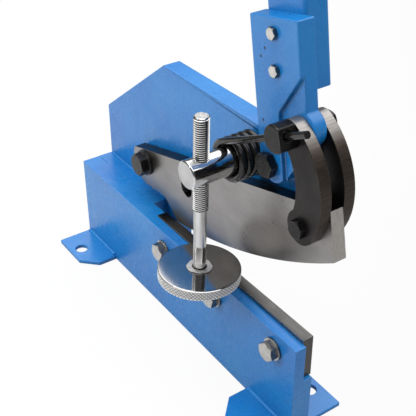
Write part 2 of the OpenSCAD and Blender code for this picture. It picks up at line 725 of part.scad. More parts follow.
bed_bar();
spacer_block();
upright_plate();
foot(-1, -1);  // rear_near_foot
foot(-1, 1);  // rear_far_foot
foot(1, -1);  // front_near_foot
foot(1, 1);  // front_far_foot
lower_blade();
lower_blade_bolts();
lower_blade_washers();
bar_die();
blade_pivot_bolt();
blade_pivot_spacer();
blade_pivot_nut();
fulcrum_bolt();
fulcrum_spacer();
fulcrum_nut();
hold_down_rod();
hold_down_nut();
rear_washers();
torsion_spring();
lever_head();
handle_tube();
handle_grip();
handle_bolts();
handle_nuts();
upper_blade();
near_link();
far_link();
link_bolt();
link_bolt_nut();
link_pin_post();
link_pin_washer();
link_pin_nut();
clamp_spindle();
clamp_disc();
clamp_collar();
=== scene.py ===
"""Bench lever shear: its finish, threads, knurl, welds and spring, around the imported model."""
import math

import bpy
from mathutils import Matrix, Vector


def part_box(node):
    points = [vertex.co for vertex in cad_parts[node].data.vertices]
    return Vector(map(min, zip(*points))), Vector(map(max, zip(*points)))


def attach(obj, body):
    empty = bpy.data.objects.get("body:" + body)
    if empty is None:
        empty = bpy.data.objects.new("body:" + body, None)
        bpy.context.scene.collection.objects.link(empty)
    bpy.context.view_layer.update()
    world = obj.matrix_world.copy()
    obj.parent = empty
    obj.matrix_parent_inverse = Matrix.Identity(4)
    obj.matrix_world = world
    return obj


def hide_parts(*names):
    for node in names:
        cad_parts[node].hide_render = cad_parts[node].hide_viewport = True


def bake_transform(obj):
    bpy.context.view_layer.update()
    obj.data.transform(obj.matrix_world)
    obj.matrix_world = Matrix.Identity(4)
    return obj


MM = 0.001
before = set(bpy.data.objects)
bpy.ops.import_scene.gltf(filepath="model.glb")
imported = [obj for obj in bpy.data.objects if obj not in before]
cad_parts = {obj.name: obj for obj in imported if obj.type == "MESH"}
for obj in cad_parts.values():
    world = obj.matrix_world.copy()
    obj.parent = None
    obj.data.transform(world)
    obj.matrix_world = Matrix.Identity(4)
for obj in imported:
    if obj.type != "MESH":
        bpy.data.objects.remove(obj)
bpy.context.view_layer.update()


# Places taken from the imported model

def middle(node):
    low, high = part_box(node)
    return (low + high) / 2


BED_LOW, BED_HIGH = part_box("bed_bar")
SPACER_LOW, SPACER_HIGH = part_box("spacer_block")
DISC_LOW, DISC_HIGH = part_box("clamp_disc")
SPINDLE_LOW, SPINDLE_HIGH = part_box("clamp_spindle")
PLATE_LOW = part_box("upright_plate")[0]
ROD_AXIS = Vector((middle("hold_down_nut").x, 0, middle("hold_down_nut").z))
PIN_AXIS = Vector((middle("link_pin_nut").x, 0, middle("link_pin_nut").z))
SPINDLE_AXIS = Vector((middle("clamp_disc").x, middle("clamp_disc").y, 0))


def spindle_reach(vertex):
    return math.hypot(vertex.co.x - SPINDLE_AXIS.x, vertex.co.y - SPINDLE_AXIS.y)


SPINDLE_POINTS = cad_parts["clamp_spindle"].data.vertices
SCREW_RADIUS = max(spindle_reach(vertex) for vertex in SPINDLE_POINTS)
SCREW_LOW = min(vertex.co.z for vertex in SPINDLE_POINTS
                if spindle_reach(vertex) > SCREW_RADIUS - 0.1 * MM)
NECK_RADIUS = min(spindle_reach(vertex) for vertex in SPINDLE_POINTS
                  if abs(vertex.co.z - SPINDLE_LOW.z) < 0.1 * MM
                  and spindle_reach(vertex) > SCREW_RADIUS / 2)
SCREW_PITCH = 1.75 * MM
SCREW_CHAMFER = 1.1 * MM

# The spindle hangs in its thread with a little play, and the disc is staked on at a slant
UPRIGHT = Vector((0, 0, 1))
SPINDLE_LEAN = Vector((0.0099, 0.0143, 1))
DISC_LEAN = Vector((-0.012, 0.048, 1))
HANGS_AT = SPINDLE_AXIS + Vector((0, 0, ROD_AXIS.z))
DISC_MIDDLE = HANGS_AT - (ROD_AXIS.z - middle("clamp_disc").z) * SPINDLE_LEAN
DISC_INSET = 0.4 * MM
DISC_RADIUS = (DISC_HIGH.x - DISC_LOW.x) / 2 - DISC_INSET
KNURL_DEPTH = 0.45 * MM


# Selecting, shaping and finishing

def make_active(piece):
    bpy.ops.object.select_all(action="DESELECT")
    piece.select_set(True)
    bpy.context.view_layer.objects.active = piece


def fresh(name):
    """Names the primitive that was just added and leaves it alone selected."""
    piece = bpy.context.object
    piece.name = name
    make_active(piece)
    return piece


def pick(piece, wanted, kind="VERT"):
    """Enters edit mode with only the vertices, edges or faces that are wanted selected."""
    make_active(piece)
    bpy.ops.object.mode_set(mode="EDIT")
    bpy.ops.mesh.select_mode(type=kind)
    bpy.ops.mesh.select_all(action="DESELECT")
    bpy.ops.object.mode_set(mode="OBJECT")
    mesh = piece.data
    items = {"VERT": mesh.vertices, "EDGE": mesh.edges, "FACE": mesh.polygons}[kind]
    for item in items:
        item.select = bool(wanted(item))
    bpy.ops.object.mode_set(mode="EDIT")


def pick_long_edges(piece, length):
    """Selects the edges that run along Z for more than half of the given length."""
    mesh = piece.data

    def runs_along(edge):
        first, second = [mesh.vertices[i].co for i in edge.vertices]
        return abs(first.z - second.z) > length / 2

    pick(piece, runs_along, "EDGE")


def edit_all(piece):
    """Enters edit mode with the whole piece selected."""
    make_active(piece)
    bpy.ops.object.mode_set(mode="EDIT")
    bpy.ops.mesh.select_all(action="SELECT")


def apply_all(piece):
    """Applies the piece's modifiers and puts its place into its mesh."""
    make_active(piece)
    for modifier in list(piece.modifiers):
        bpy.ops.object.modifier_apply(modifier=modifier.name)
    bpy.ops.object.transform_apply(location=True, rotation=True, scale=True)


def smooth(piece, angle=35):
    make_active(piece)
    bpy.ops.object.shade_smooth_by_angle(angle=math.radians(angle))


def keep_flat(piece):
    """Weighs the shading by area, so that flat faces look flat beside their broken edges."""
    weighted = piece.modifiers.new("flat faces", "WEIGHTED_NORMAL")
    weighted.keep_sharp = True
    apply_all(piece)


def break_edges(piece, width, segments, angle, clamped=True):
    """Rounds the edges that turn by more than the angle."""
    edges = piece.modifiers.new("broken edges", "BEVEL")
    edges.width = width
    edges.segments = segments
    edges.limit_method = "ANGLE"
    edges.angle_limit = math.radians(angle)
    edges.use_clamp_overlap = clamped
    apply_all(piece)


def merge(piece, distance=0.002 * MM):
    edit_all(piece)
    bpy.ops.mesh.remove_doubles(threshold=distance)
    bpy.ops.mesh.normals_make_consistent(inside=False)
    bpy.ops.object.mode_set(mode="OBJECT")


def cut_off(piece, point, normal):
    """Cuts away what lies beyond the point along the normal, and closes the cut."""
    edit_all(piece)
    bpy.ops.mesh.bisect(plane_co=point, plane_no=normal, use_fill=True, clear_outer=True)
    bpy.ops.object.mode_set(mode="OBJECT")


def hand_over(piece, body, slot, material, *nodes):
    """Gives a finished piece its material, its body and the CAD nodes that it stands for."""
    piece.data.materials.clear()
    piece.data.materials.append(material)
    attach(piece, body)
    if nodes:
        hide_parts(*nodes)


# Materials

def new_material(name, **inputs):
    material = bpy.data.materials.new(name)
    material.use_nodes = True
    shader = material.node_tree.nodes["Principled BSDF"]
    for key, value in inputs.items():
        shader.inputs[key.replace("_", " ")].default_value = value
    return material, shader


def add(material, kind, **settings):
    """A new node in the material's tree, or in the world's."""
    node = material.node_tree.nodes.new(kind)
    for key, value in settings.items():
        setattr(node, key, value)
    return node


def wire(material, source, target):
    material.node_tree.links.new(source, target)


def grain(material, size, stretch=(1, 1, 1), detail=2.0, roughness=0.5):
    """Noise with grains of about the given size in metres, longer where stretched."""
    place = add(material, "ShaderNodeTexCoord")
    mapping = add(material, "ShaderNodeMapping")
    mapping.inputs["Scale"].default_value = [1 / (size * s) for s in stretch]
    noise = add(material, "ShaderNodeTexNoise")
    noise.inputs["Scale"].default_value = 1
    noise.inputs["Detail"].default_value = detail
    noise.inputs["Roughness"].default_value = roughness
    wire(material, place.outputs["Object"], mapping.inputs["Vector"])
    wire(material, mapping.outputs["Vector"], noise.inputs["Vector"])
    return noise.outputs["Fac"]


def ramp(material, factor, *stops):
    """Colours or greys along a factor, as (position, colour) stops."""
    node = add(material, "ShaderNodeValToRGB")
    elements = node.color_ramp.elements
    while len(elements) < len(stops):
        elements.new(0.5)
    for element, (position, colour) in zip(elements, stops):
        element.position = position
        element.color = (*colour, 1) if isinstance(colour, tuple) else (colour, colour, colour, 1)
    wire(material, factor, node.inputs["Fac"])
    return node.outputs["Color"]


def blend_colours(material, factor, first, second, mode="MIX"):
    node = add(material, "ShaderNodeMix", data_type="RGBA", blend_type=mode)
    if isinstance(factor, float):
        node.inputs[0].default_value = factor
    else:
        wire(material, factor, node.inputs[0])
    wire(material, first, node.inputs[6])
    wire(material, second, node.inputs[7])
    return node.outputs[2]


def bump(material, shader, height, depth, before=None):
    """Raises the surface by the height pattern, depth metres at most."""
    node = add(material, "ShaderNodeBump")
    node.inputs["Distance"].default_value = depth
    wire(material, height, node.inputs["Height"])
    if before:
        wire(material, before, node.inputs["Normal"])
    wire(material, node.outputs["Normal"], shader.inputs["Normal"])
    return node.outputs["Normal"]


def rise(material, value, start, end):
    """0 to 1, smoothly, as the value goes from start to end."""
    node = add(material, "ShaderNodeMapRange", interpolation_type="SMOOTHSTEP")
    node.inputs["From Min"].default_value = start
    node.inputs["From Max"].default_value = end
    wire(material, value, node.inputs["Value"])
    return node.outputs["Result"]


def facing(material, axis, start, end):
    """0 to 1 as the piece's own normal has from start to end of its length along the axis."""
    place = add(material, "ShaderNodeTexCoord")
    split = add(material, "ShaderNodeSeparateXYZ")
    size = add(material, "ShaderNodeMath", operation="ABSOLUTE")
    wire(material, place.outputs["Normal"], split.inputs["Vector"])
    wire(material, split.outputs[axis], size.inputs[0])
    return rise(material, size.outputs[0], start, end)


def spots(material, centres, radius):
    """1 inside small round spots, fading out over half their radius."""
    place = add(material, "ShaderNodeTexCoord")
    total = None
    for centre in centres:
        distance = add(material, "ShaderNodeVectorMath", operation="DISTANCE")
        distance.inputs[1].default_value = centre
        wire(material, place.outputs["Object"], distance.inputs[0])
        spot = rise(material, distance.outputs["Value"], radius, radius / 2)
        if total is None:
            total = spot
            continue
        larger = add(material, "ShaderNodeMath", operation="MAXIMUM")
        wire(material, total, larger.inputs[0])
        wire(material, spot, larger.inputs[1])
        total = larger.outputs[0]
    return total


def from_line(material, point, along):
    """Distance of the shaded point from a straight line."""
    place = add(material, "ShaderNodeTexCoord")
    offset = add(material, "ShaderNodeVectorMath", operation="SUBTRACT")
    offset.inputs[1].default_value = point
    across = add(material, "ShaderNodeVectorMath", operation="CROSS_PRODUCT")
    across.inputs[1].default_value = along.normalized()
    reach = add(material, "ShaderNodeVectorMath", operation="LENGTH")
    wire(material, place.outputs["Object"], offset.inputs[0])
    wire(material, offset.outputs["Vector"], across.inputs[0])
    wire(material, across.outputs["Vector"], reach.inputs[0])
    return reach.outputs["Value"]


def above(material, height):
    """1 above the given height and 0 below it."""
    place = add(material, "ShaderNodeTexCoord")
    split = add(material, "ShaderNodeSeparateXYZ")
    higher = add(material, "ShaderNodeMath", operation="GREATER_THAN")
    higher.inputs[1].default_value = height
    wire(material, place.outputs["Object"], split.inputs["Vector"])
    wire(material, split.outputs["Z"], higher.inputs[0])
    return higher.outputs[0]


def worn_edges(material, width, amount):
    """Up to the amount along broken edges, in patches, and 0 on the faces."""
    cosine_on_face = 0.995
    cosine_on_edge = 0.93
    rounded = add(material, "ShaderNodeBevel", samples=4)
    rounded.inputs["Radius"].default_value = width
    surface = add(material, "ShaderNodeNewGeometry")
    turned = add(material, "ShaderNodeVectorMath", operation="DOT_PRODUCT")
    patches = ramp(material, grain(material, 5 * MM, detail=3), (0.35, 0.0), (0.60, amount))
    wear = add(material, "ShaderNodeMath", operation="MULTIPLY")
    wire(material, rounded.outputs["Normal"], turned.inputs[0])
    wire(material, surface.outputs["Normal"], turned.inputs[1])
    broken = rise(material, turned.outputs["Value"], cosine_on_face, cosine_on_edge)
    wire(material, broken, wear.inputs[0])
    wire(material, patches, wear.inputs[1])
    return wear.outputs[0]


def plain_colour(material, colour):
    node = add(material, "ShaderNodeRGB")
    node.outputs[0].default_value = (*colour, 1)
    return node.outputs[0]


PAINT = (0.008, 0.145, 0.405)
PAINT_DEEP = (0.005, 0.122, 0.375)
PAINT_THIN = (0.015, 0.165, 0.425)


def blue_enamel(name="blue enamel", pits=()):
    material, shader = new_material(name, IOR=1.5)
    cloud = grain(material, 60 * MM, detail=1)
    colour = ramp(material, cloud, (0.3, PAINT_DEEP), (0.55, PAINT), (0.8, PAINT_THIN))
    speck = ramp(material, grain(material, 1.3 * MM, detail=1), (0.25, 0.86), (0.4, 1.0))
    colour = blend_colours(material, 1.0, colour, speck, "MULTIPLY")
    wear = grain(material, 9 * MM, detail=3)
    wire(material, ramp(material, wear, (0.3, 0.22), (0.7, 0.36)), shader.inputs["Roughness"])
    peel = bump(material, shader, grain(material, 2.6 * MM, detail=2), 0.05 * MM)
    sag = bump(material, shader, grain(material, 17 * MM, detail=1), 0.25 * MM, peel)
    if pits:
        hollow = spots(material, pits, 1.3 * MM)
        dark = ramp(material, hollow, (0, 1.0), (1, 0.06))
        colour = blend_colours(material, 1.0, colour, dark, "MULTIPLY")
        bump(material, shader, dark, 0.6 * MM, sag)
    rubbed = plain_colour(material, (0.110, 0.290, 0.580))
    colour = blend_colours(material, worn_edges(material, 0.7 * MM, 0.45), colour, rubbed)
    wire(material, colour, shader.inputs["Base Color"])
    return material


def ground_steel(name, back, toe):
    """Surface ground tool steel, darkened along its top edge with painted shade and painted
    reflection in fine streaks.
    """
    material, shader = new_material(name, Metallic=1.0)
    cloud = grain(material, 26 * MM, detail=2)
    body = ramp(material, cloud, (0.25, (0.255, 0.243, 0.235)), (0.75, (0.318, 0.304, 0.295)))
    brushed = grain(material, 1.4 * MM, stretch=(16, 1, 1))
    streaks = ramp(material, brushed, (0.3, 0.92), (0.65, 1.0))
    body = blend_colours(material, 1.0, body, streaks, "MULTIPLY")
    # Painted shade and painted reflection: the faces that look up take the dark back colour, in
    # streaks.
    top_shade_streaks = grain(material, 1.2 * MM, stretch=(30, 1, 30))
    dark = ramp(material, top_shade_streaks, (0.3, tuple(0.7 * c for c in back)), (0.7, back))
    edge = facing(material, "Z", 0.80, 0.92)
    # The faces that look along X take the toe colour: light on the moving blade, dark on the fixed
    # one.
    toe_grain = grain(material, 0.9 * MM, stretch=(1, 1, 12), detail=2)
    end_face_colour = ramp(material, toe_grain, (0.25, tuple(0.68 * c for c in toe)), (0.75, toe))
    body = blend_colours(material, facing(material, "X", 0.80, 0.92), body, end_face_colour)
    wire(material, blend_colours(material, edge, body, dark), shader.inputs["Base Color"])
    rough = grain(material, 14 * MM, detail=3)
    wire(material, ramp(material, rough, (0.3, 0.27), (0.7, 0.36)), shader.inputs["Roughness"])
    return material


def black_steel():
    """Oiled black oxide, rubbed bare in patches along its edges."""
    material, shader = new_material("black oxide steel", Metallic=0.7)
    cloud = grain(material, 16 * MM, detail=3)
    face = ramp(material, cloud, (0.3, (0.009, 0.0085, 0.0085)), (0.7, (0.022, 0.021, 0.020)))
    bare = plain_colour(material, (0.300, 0.285, 0.270))
    face = blend_colours(material, worn_edges(material, 0.5 * MM, 1.0), face, bare)
    wire(material, face, shader.inputs["Base Color"])
    rough = grain(material, 5 * MM, detail=3)
    wire(material, ramp(material, rough, (0.3, 0.22), (0.7, 0.40)), shader.inputs["Roughness"])
    bump(material, shader, grain(material, 1.1 * MM, detail=3), 0.05 * MM)
    return material


def link_steel():
    """Dark faces under mill scale, and an edge with fine lines across it, with painted highlight
    where it looks up and painted shade on its sides.
    """
    material, shader = new_material("link steel", Metallic=0.9)
    cloud = grain(material, 20 * MM, detail=3)
    face = ramp(material, cloud, (0.3, (0.020, 0.018, 0.0175)), (0.7, (0.034, 0.031, 0.030)))
    cuts = grain(material, 0.8 * MM, stretch=(1, 30, 1), detail=2, roughness=0.6)
    # Painted shade on the sides of the edge, and painted highlight where the edge looks up, both
    # streaked by the fine lines.
    edge_side_shade = ramp(material, cuts, (0.25, (0.045, 0.035, 0.028)), (0.75, (0.085, 0.070, 0.060)))
    edge_top_highlight = ramp(material, cuts, (0.25, (0.210, 0.200, 0.190)), (0.75, (0.360, 0.345, 0.330)))
    upward = facing(material, "Z", 0.60, 0.90)
    edge = blend_colours(material, upward, edge_side_shade, edge_top_highlight)
    across = facing(material, "Y", 0.5, 0.8)
    colour = blend_colours(material, across, edge, face)
    bare = plain_colour(material, (0.330, 0.310, 0.290))
    colour = blend_colours(material, worn_edges(material, 0.4 * MM, 0.7), colour, bare)
    wire(material, colour, shader.inputs["Base Color"])
    rough = grain(material, 4 * MM, detail=3)
    wire(material, ramp(material, rough, (0.3, 0.34), (0.7, 0.46)), shader.inputs["Roughness"])
    first = bump(material, shader, cuts, 0.015 * MM)
    bump(material, shader, grain(material, 1.4 * MM, detail=3), 0.02 * MM, first)
    return material


def zinc_plate():
    """Bright zinc, with painted shade on the sides of heads and washers, bare along the edges."""
    material, shader = new_material("zinc plate", Metallic=1.0)
    cloud = grain(material, 4 * MM, detail=3)
    colour = ramp(material, cloud, (0.3, (0.46, 0.445, 0.42)), (0.7, (0.62, 0.60, 0.565)))
    # Painted shade: faces that do not look along Y are darkened.
    flank_shade = ramp(material, facing(material, "Y", 0.5, 0.8), (0, 0.34), (1, 1.0))
    colour = blend_colours(material, 1.0, colour, flank_shade, "MULTIPLY")
    bare = plain_colour(material, (0.72, 0.70, 0.67))
    colour = blend_colours(material, worn_edges(material, 0.35 * MM, 0.9), colour, bare)
    wire(material, colour, shader.inputs["Base Color"])
    wire(material, ramp(material, cloud, (0.3, 0.24), (0.7, 0.38)), shader.inputs["Roughness"])
    bump(material, shader, grain(material, 0.7 * MM, detail=2), 0.02 * MM)
    return material


def bright_chrome():
    """Bright plate, with a duller faced end."""
    material, shader = new_material("bright chrome", Metallic=1.0)
    cloud = grain(material, 12 * MM, detail=2)
    colour = ramp(material, cloud, (0.3, (0.52, 0.52, 0.525)), (0.7, (0.62, 0.62, 0.625)))
    end = facing(material, "Y", 0.9, 0.97)
    faced = ramp(material, cloud, (0.3, 0.40), (0.7, 0.50))
    wire(material, blend_colours(material, end, colour, faced), shader.inputs["Base Color"])
    wire(material, ramp(material, end, (0, 0.09), (1, 0.34)), shader.inputs["Roughness"])
    bump(material, shader, grain(material, 0.8 * MM, stretch=(12, 1, 12), detail=1), 0.004 * MM)
    return material


def thread_chrome():
    """Bright crests, and roots darkened with painted shade, by the distance from the leaning axis.
    """
    material, shader = new_material("thread with painted root shade", Metallic=1.0, Roughness=0.16)
    reach = from_line(material, HANGS_AT, SPINDLE_LEAN)
    crest = rise(material, reach, SCREW_RADIUS - 0.50 * MM, SCREW_RADIUS - 0.25 * MM)
    # Painted shade: the roots are darkened almost to black.
    root_shade = ramp(material, crest, (0, (0.012, 0.011, 0.010)), (1, (0.80, 0.80, 0.80)))
    faced = ramp(material, grain(material, 2 * MM), (0.3, 0.42), (0.7, 0.66))
    end = above(material, SPINDLE_HIGH.z - SCREW_CHAMFER)
    wire(material, blend_colours(material, end, root_shade, faced), shader.inputs["Base Color"])
    return material


# The wave texture turns this far over one metre at a scale of one
WAVE_RADIANS = 20


def turned_steel():
    """Finely turned and polished face, and a duller knurled rim whose roots are darkened with
    painted shade.
    """
    material, shader = new_material("turned steel")
    cloud = grain(material, 18 * MM, detail=2)
    colour = ramp(material, cloud, (0.3, (0.42, 0.41, 0.40)), (0.7, (0.48, 0.47, 0.46)))
    reach = from_line(material, DISC_MIDDLE, DISC_LEAN)
    crest = rise(material, reach, DISC_RADIUS - KNURL_DEPTH * 0.90, DISC_RADIUS - KNURL_DEPTH * 0.60)
    # Painted shade: the knurl's roots are darkened.
    knurl = ramp(material, crest, (0, 0.02), (1, 0.62))
    rim = facing(material, "Z", 0.45, 0.30)
    wire(material, blend_colours(material, rim, colour, knurl), shader.inputs["Base Color"])
    wire(material, ramp(material, rim, (0, 1.0), (1, 0.25)), shader.inputs["Metallic"])
    wire(material, ramp(material, rim, (0, 0.10), (1, 0.40)), shader.inputs["Roughness"])
    place = add(material, "ShaderNodeTexCoord")
    mapping = add(material, "ShaderNodeMapping")
    mapping.inputs["Location"].default_value = (-SPINDLE_AXIS.x, -SPINDLE_AXIS.y, 0)
    rings = add(material, "ShaderNodeTexWave", wave_type="RINGS", rings_direction="Z")
    ring_pitch = 0.35 * MM
    rings.inputs["Scale"].default_value = 2 * math.pi / (WAVE_RADIANS * ring_pitch)
    rings.inputs["Distortion"].default_value = 0
    wire(material, place.outputs["Object"], mapping.inputs["Vector"])
    wire(material, mapping.outputs["Vector"], rings.inputs["Vector"])
    bump(material, shader, rings.outputs["Fac"], 0.0006 * MM)
    return material


def dull_zinc():
    """Dull plate, with painted shade in the gap round the spindle's neck."""
    material, shader = new_material("dull zinc", Metallic=1.0)
    cloud = grain(material, 2.2 * MM, detail=4, roughness=0.7)
    colour = ramp(material, cloud, (0.3, (0.40, 0.39, 0.38)), (0.7, (0.62, 0.61, 0.60)))
    reach = from_line(material, HANGS_AT, SPINDLE_LEAN)
    clear = rise(material, reach, NECK_RADIUS + 0.5 * MM, NECK_RADIUS + 1.2 * MM)
    shadowed = ramp(material, clear, (0, 0.04), (1, 1.0))
    colour = blend_colours(material, 1.0, colour, shadowed, "MULTIPLY")
    wire(material, colour, shader.inputs["Base Color"])
    wire(material, ramp(material, cloud, (0.3, 0.42), (0.7, 0.62)), shader.inputs["Roughness"])
    bump(material, shader, cloud, 0.06 * MM)
    return material


def spring_black():
    material, shader = new_material("black spring wire", Metallic=0.35)
    cloud = grain(material, 6 * MM, detail=3)
    colour = ramp(material, cloud, (0.3, (0.010, 0.0095, 0.0095)), (0.7, (0.022, 0.021, 0.020)))
    wire(material, colour, shader.inputs["Base Color"])
    wire(material, ramp(material, cloud, (0.3, 0.08), (0.7, 0.18)), shader.inputs["Roughness"])
    bump(material, shader, grain(material, 2.4 * MM, detail=2), 0.03 * MM)
    return material


def grip_rubber():
    material, shader = new_material("grip rubber", Specular_IOR_Level=0.35)
    cloud = grain(material, 7 * MM, detail=3)
    colour = ramp(material, cloud, (0.3, (0.012, 0.012, 0.013)), (0.7, (0.022, 0.022, 0.023)))
    wire(material, colour, shader.inputs["Base Color"])
    wire(material, ramp(material, cloud, (0.3, 0.55), (0.7, 0.70)), shader.inputs["Roughness"])
    bump(material, shader, grain(material, 0.6 * MM, detail=2), 0.06 * MM)
    return material


# Pits in the paint of the lever's front, seen low on its left and beside its eye
PIT_PLACES = ((94.7, 7, 295.4), (90.8, 7, 288.3), (96.2, 7, 242.7), (116, 7, 255.9))
PITS = [Vector(place) * MM for place in PIT_PLACES]

ENAMEL = blue_enamel()
LEVER_ENAMEL = blue_enamel("pitted blue enamel", PITS)
# The second colour is painted shade and painted reflection along each blade's top edge; the third
# colours the faces that look along X.
BLADE_STEEL = ground_steel("ground blade steel", (0.045, 0.044, 0.043), (0.62, 0.59, 0.56))
FIXED_BLADE_STEEL = ground_steel("fixed blade steel", (0.115, 0.112, 0.108), (0.12, 0.116, 0.11))
BLACK_STEEL = black_steel()
LINK_STEEL = link_steel()
ZINC = zinc_plate()
CHROME = bright_chrome()
ROOT_SHADED_THREAD = thread_chrome()
TURNED = turned_steel()
DULL_ZINC = dull_zinc()
SPRING_BLACK = spring_black()
RUBBER = grip_rubber()


# Pieces whose sharp edges are broken, made on a merged copy of their CAD node

# In degrees: faces that meet within the first are joined, and edges past the second are broken
FLAT_WITHIN = 0.6
SHARP_FROM = 33


def dress(node, body, slot, material, width, segments=2):
    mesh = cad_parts[node].data.copy()
    piece = bpy.data.objects.new(node + "_dressed", mesh)
    bpy.context.scene.collection.objects.link(piece)
    merge(piece)
    edit_all(piece)
    bpy.ops.mesh.dissolve_limited(angle_limit=math.radians(FLAT_WITHIN))
    bpy.ops.object.mode_set(mode="OBJECT")
    break_edges(piece, width, segments, SHARP_FROM, clamped=False)
    smooth(piece)
    keep_flat(piece)
    hand_over(piece, body, slot, material, node)


def dress_rigid_nodes():
    dress("bed_bar", "frame", "blue_paint", ENAMEL, 0.5 * MM)
    dress("spacer_block", "frame", "blue_paint", ENAMEL, 0.2 * MM)
    dress("upright_plate", "frame", "blue_paint", ENAMEL, 0.9 * MM)
    for node in ("rear_near_foot", "rear_far_foot", "front_near_foot", "front_far_foot"):
        dress(node, "frame", "blue_paint", ENAMEL, 0.6 * MM)
    dress("lever_head", "lever", "blue_paint", LEVER_ENAMEL, 1.3 * MM, segments=3)
    dress("handle_tube", "lever", "blue_paint", ENAMEL, 0.25 * MM)
    dress("lower_blade", "frame", "blade_steel", FIXED_BLADE_STEEL, 0.35 * MM)
    dress("upper_blade", "blade", "blade_steel", BLADE_STEEL, 0.25 * MM)
    for node in ("near_link", "far_link"):
        dress(node, "links", "black_steel", LINK_STEEL, 0.35 * MM)
    for node in ("blade_pivot_bolt", "blade_pivot_nut", "fulcrum_bolt", "fulcrum_nut",
                 "hold_down_nut", "rear_washers"):
        dress(node, "frame", "black_steel", BLACK_STEEL, 0.3 * MM)
    for node in ("link_bolt", "link_bolt_nut"):
        dress(node, "links", "black_steel", BLACK_STEEL, 0.3 * MM)
    for node in ("link_pin_post", "link_pin_washer", "link_pin_nut"):
        dress(node, "link_pin", "black_steel", BLACK_STEEL, 0.3 * MM)
    for node in ("lower_blade_bolts", "lower_blade_washers"):
        dress(node, "frame", "zinc_plated", ZINC, 0.3 * MM)
    for node in ("handle_bolts", "handle_nuts"):
        dress(node, "lever", "zinc_plated", ZINC, 0.25 * MM)
    dress("hold_down_rod", "frame", "bright_chrome", CHROME, 0.35 * MM)
    for node in ("bar_die", "blade_pivot_spacer", "fulcrum_spacer"):
        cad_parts[node].data.materials.clear()
        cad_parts[node].data.materials.append(BLACK_STEEL)


# Screw thread: one crest and root that wind up round an axis

def thread(name, radius, pitch, low, high, chamfer):
    """A thread along Z at the origin, closed at both ends and chamfered at the top.

    Its profile is flat along the crest and the root, with a straight flank between them.
    """
    depth = 0.58 * pitch
    flank = 1.9
    crest = 0.45
    steps = 8
    steps_round = 56
    bpy.ops.mesh.primitive_plane_add(size=pitch, rotation=(math.pi / 2, 0, 0),
                                     location=(radius - pitch / 2, 0, low - pitch / 2))
    piece = fresh(name)
    apply_all(piece)
    pick(piece, lambda vertex: vertex.co.x < radius - pitch / 2)
    bpy.ops.mesh.delete(type="VERT")
    bpy.ops.mesh.select_all(action="SELECT")
    bpy.ops.mesh.subdivide(number_cuts=steps - 1)
    bpy.ops.object.mode_set(mode="OBJECT")
    for vertex in piece.data.vertices:
        share = 1 - abs(2 * (vertex.co.z - low + pitch) / pitch - 1)
        vertex.co.x -= depth * min(1, max(0, flank * share - crest))
    wind = piece.modifiers.new("wind", "SCREW")
    wind.axis = "Z"
    wind.steps = steps_round
    wind.render_steps = steps_round
    wind.screw_offset = pitch
    wind.iterations = math.ceil((high - low) / pitch) + 2
    apply_all(piece)
    merge(piece, 0.01 * MM)
    cut_off(piece, (0, 0, high), (0, 0, 1))
    cut_off(piece, (0, 0, low), (0, 0, -1))
    for vertex in piece.data.vertices:
        limit = radius - chamfer + (high - vertex.co.z)
        reach = math.hypot(vertex.co.x, vertex.co.y)
        if reach > limit:
            vertex.co.x *= limit / reach
            vertex.co.y *= limit / reach
    merge(piece, 0.01 * MM)
    return piece


def lean(piece, about, before, after):
    """Turns the piece about a point, so that what was along the first line is along the second."""
    turn = before.rotation_difference(after).to_matrix().to_4x4()
    piece.data.transform(Matrix.Translation(about) @ turn @ Matrix.Translation(-about))


def lean_disc(piece):
    lean(piece, middle("clamp_disc"), SPINDLE_LEAN, DISC_LEAN)
    lean(piece, HANGS_AT, UPRIGHT, SPINDLE_LEAN)


def make_spindle():
    """Clamp spindle: a threaded length above a polished neck with a rounded end."""
    screw = thread("clamp_screw", SCREW_RADIUS, SCREW_PITCH, SCREW_LOW, SPINDLE_HIGH.z,
                   SCREW_CHAMFER)
    screw.data.transform(Matrix.Translation(SPINDLE_AXIS))
    neck_length = SCREW_LOW - SPINDLE_LOW.z + 0.5 * MM
    bpy.ops.mesh.primitive_cylinder_add(
        vertices=64, radius=NECK_RADIUS, depth=neck_length,
        location=(SPINDLE_AXIS.x, SPINDLE_AXIS.y, SPINDLE_LOW.z + neck_length / 2))
    neck = fresh("neck")
    apply_all(neck)
    break_edges(neck, width=0.5 * MM, segments=3, angle=40)
    for piece, sharp in ((screw, 20), (neck, 40)):
        lean(piece, HANGS_AT, UPRIGHT, SPINDLE_LEAN)
        smooth(piece, sharp)
    hand_over(screw, "spindle", "bright_chrome", ROOT_SHADED_THREAD, "clamp_spindle")
    hand_over(neck, "spindle", "bright_chrome", CHROME)


def make_disc():
    """Clamp disc: a polished face, a chamfered lip and a rim with a diamond knurl."""
    bottom = DISC_LOW.z + 0.9 * MM
    top = DISC_HIGH.z - 0.3 * MM
    height = top - bottom
    lip = 1.2 * MM
    ridges = 72
    per_ridge = 6
    rows = 14
    bpy.ops.mesh.primitive_cylinder_add(
        vertices=ridges * per_ridge, radius=DISC_RADIUS, depth=height,
        location=(SPINDLE_AXIS.x, SPINDLE_AXIS.y, bottom + height / 2))
    disc = fresh("disc_dressed")
    apply_all(disc)
    break_edges(disc, width=lip, segments=3, angle=60)
    low = bottom + lip
    high = bottom + height - lip
    pick_long_edges(disc, high - low)
    bpy.ops.mesh.subdivide(number_cuts=rows - 1)
    bpy.ops.object.mode_set(mode="OBJECT")
    slack = 0.01 * MM
    for vertex in disc.data.vertices:
        out = vertex.co - SPINDLE_AXIS
        out.z = 0
        if vertex.co.z < low - slack or vertex.co.z > high + slack:
            continue
        around = math.atan2(out.y, out.x) / (2 * math.pi) * ridges
        along = (vertex.co.z - low) / (high - low) * rows / per_ridge
        first = abs((around + along) % 1 - 0.5) * 2
        second = abs((around - along) % 1 - 0.5) * 2
        vertex.co -= out.normalized() * KNURL_DEPTH * (1 - min(first, second))
    lean_disc(disc)
    smooth(disc, 12)
    keep_flat(disc)
    hand_over(disc, "disc", "turned_steel", TURNED, "clamp_disc")


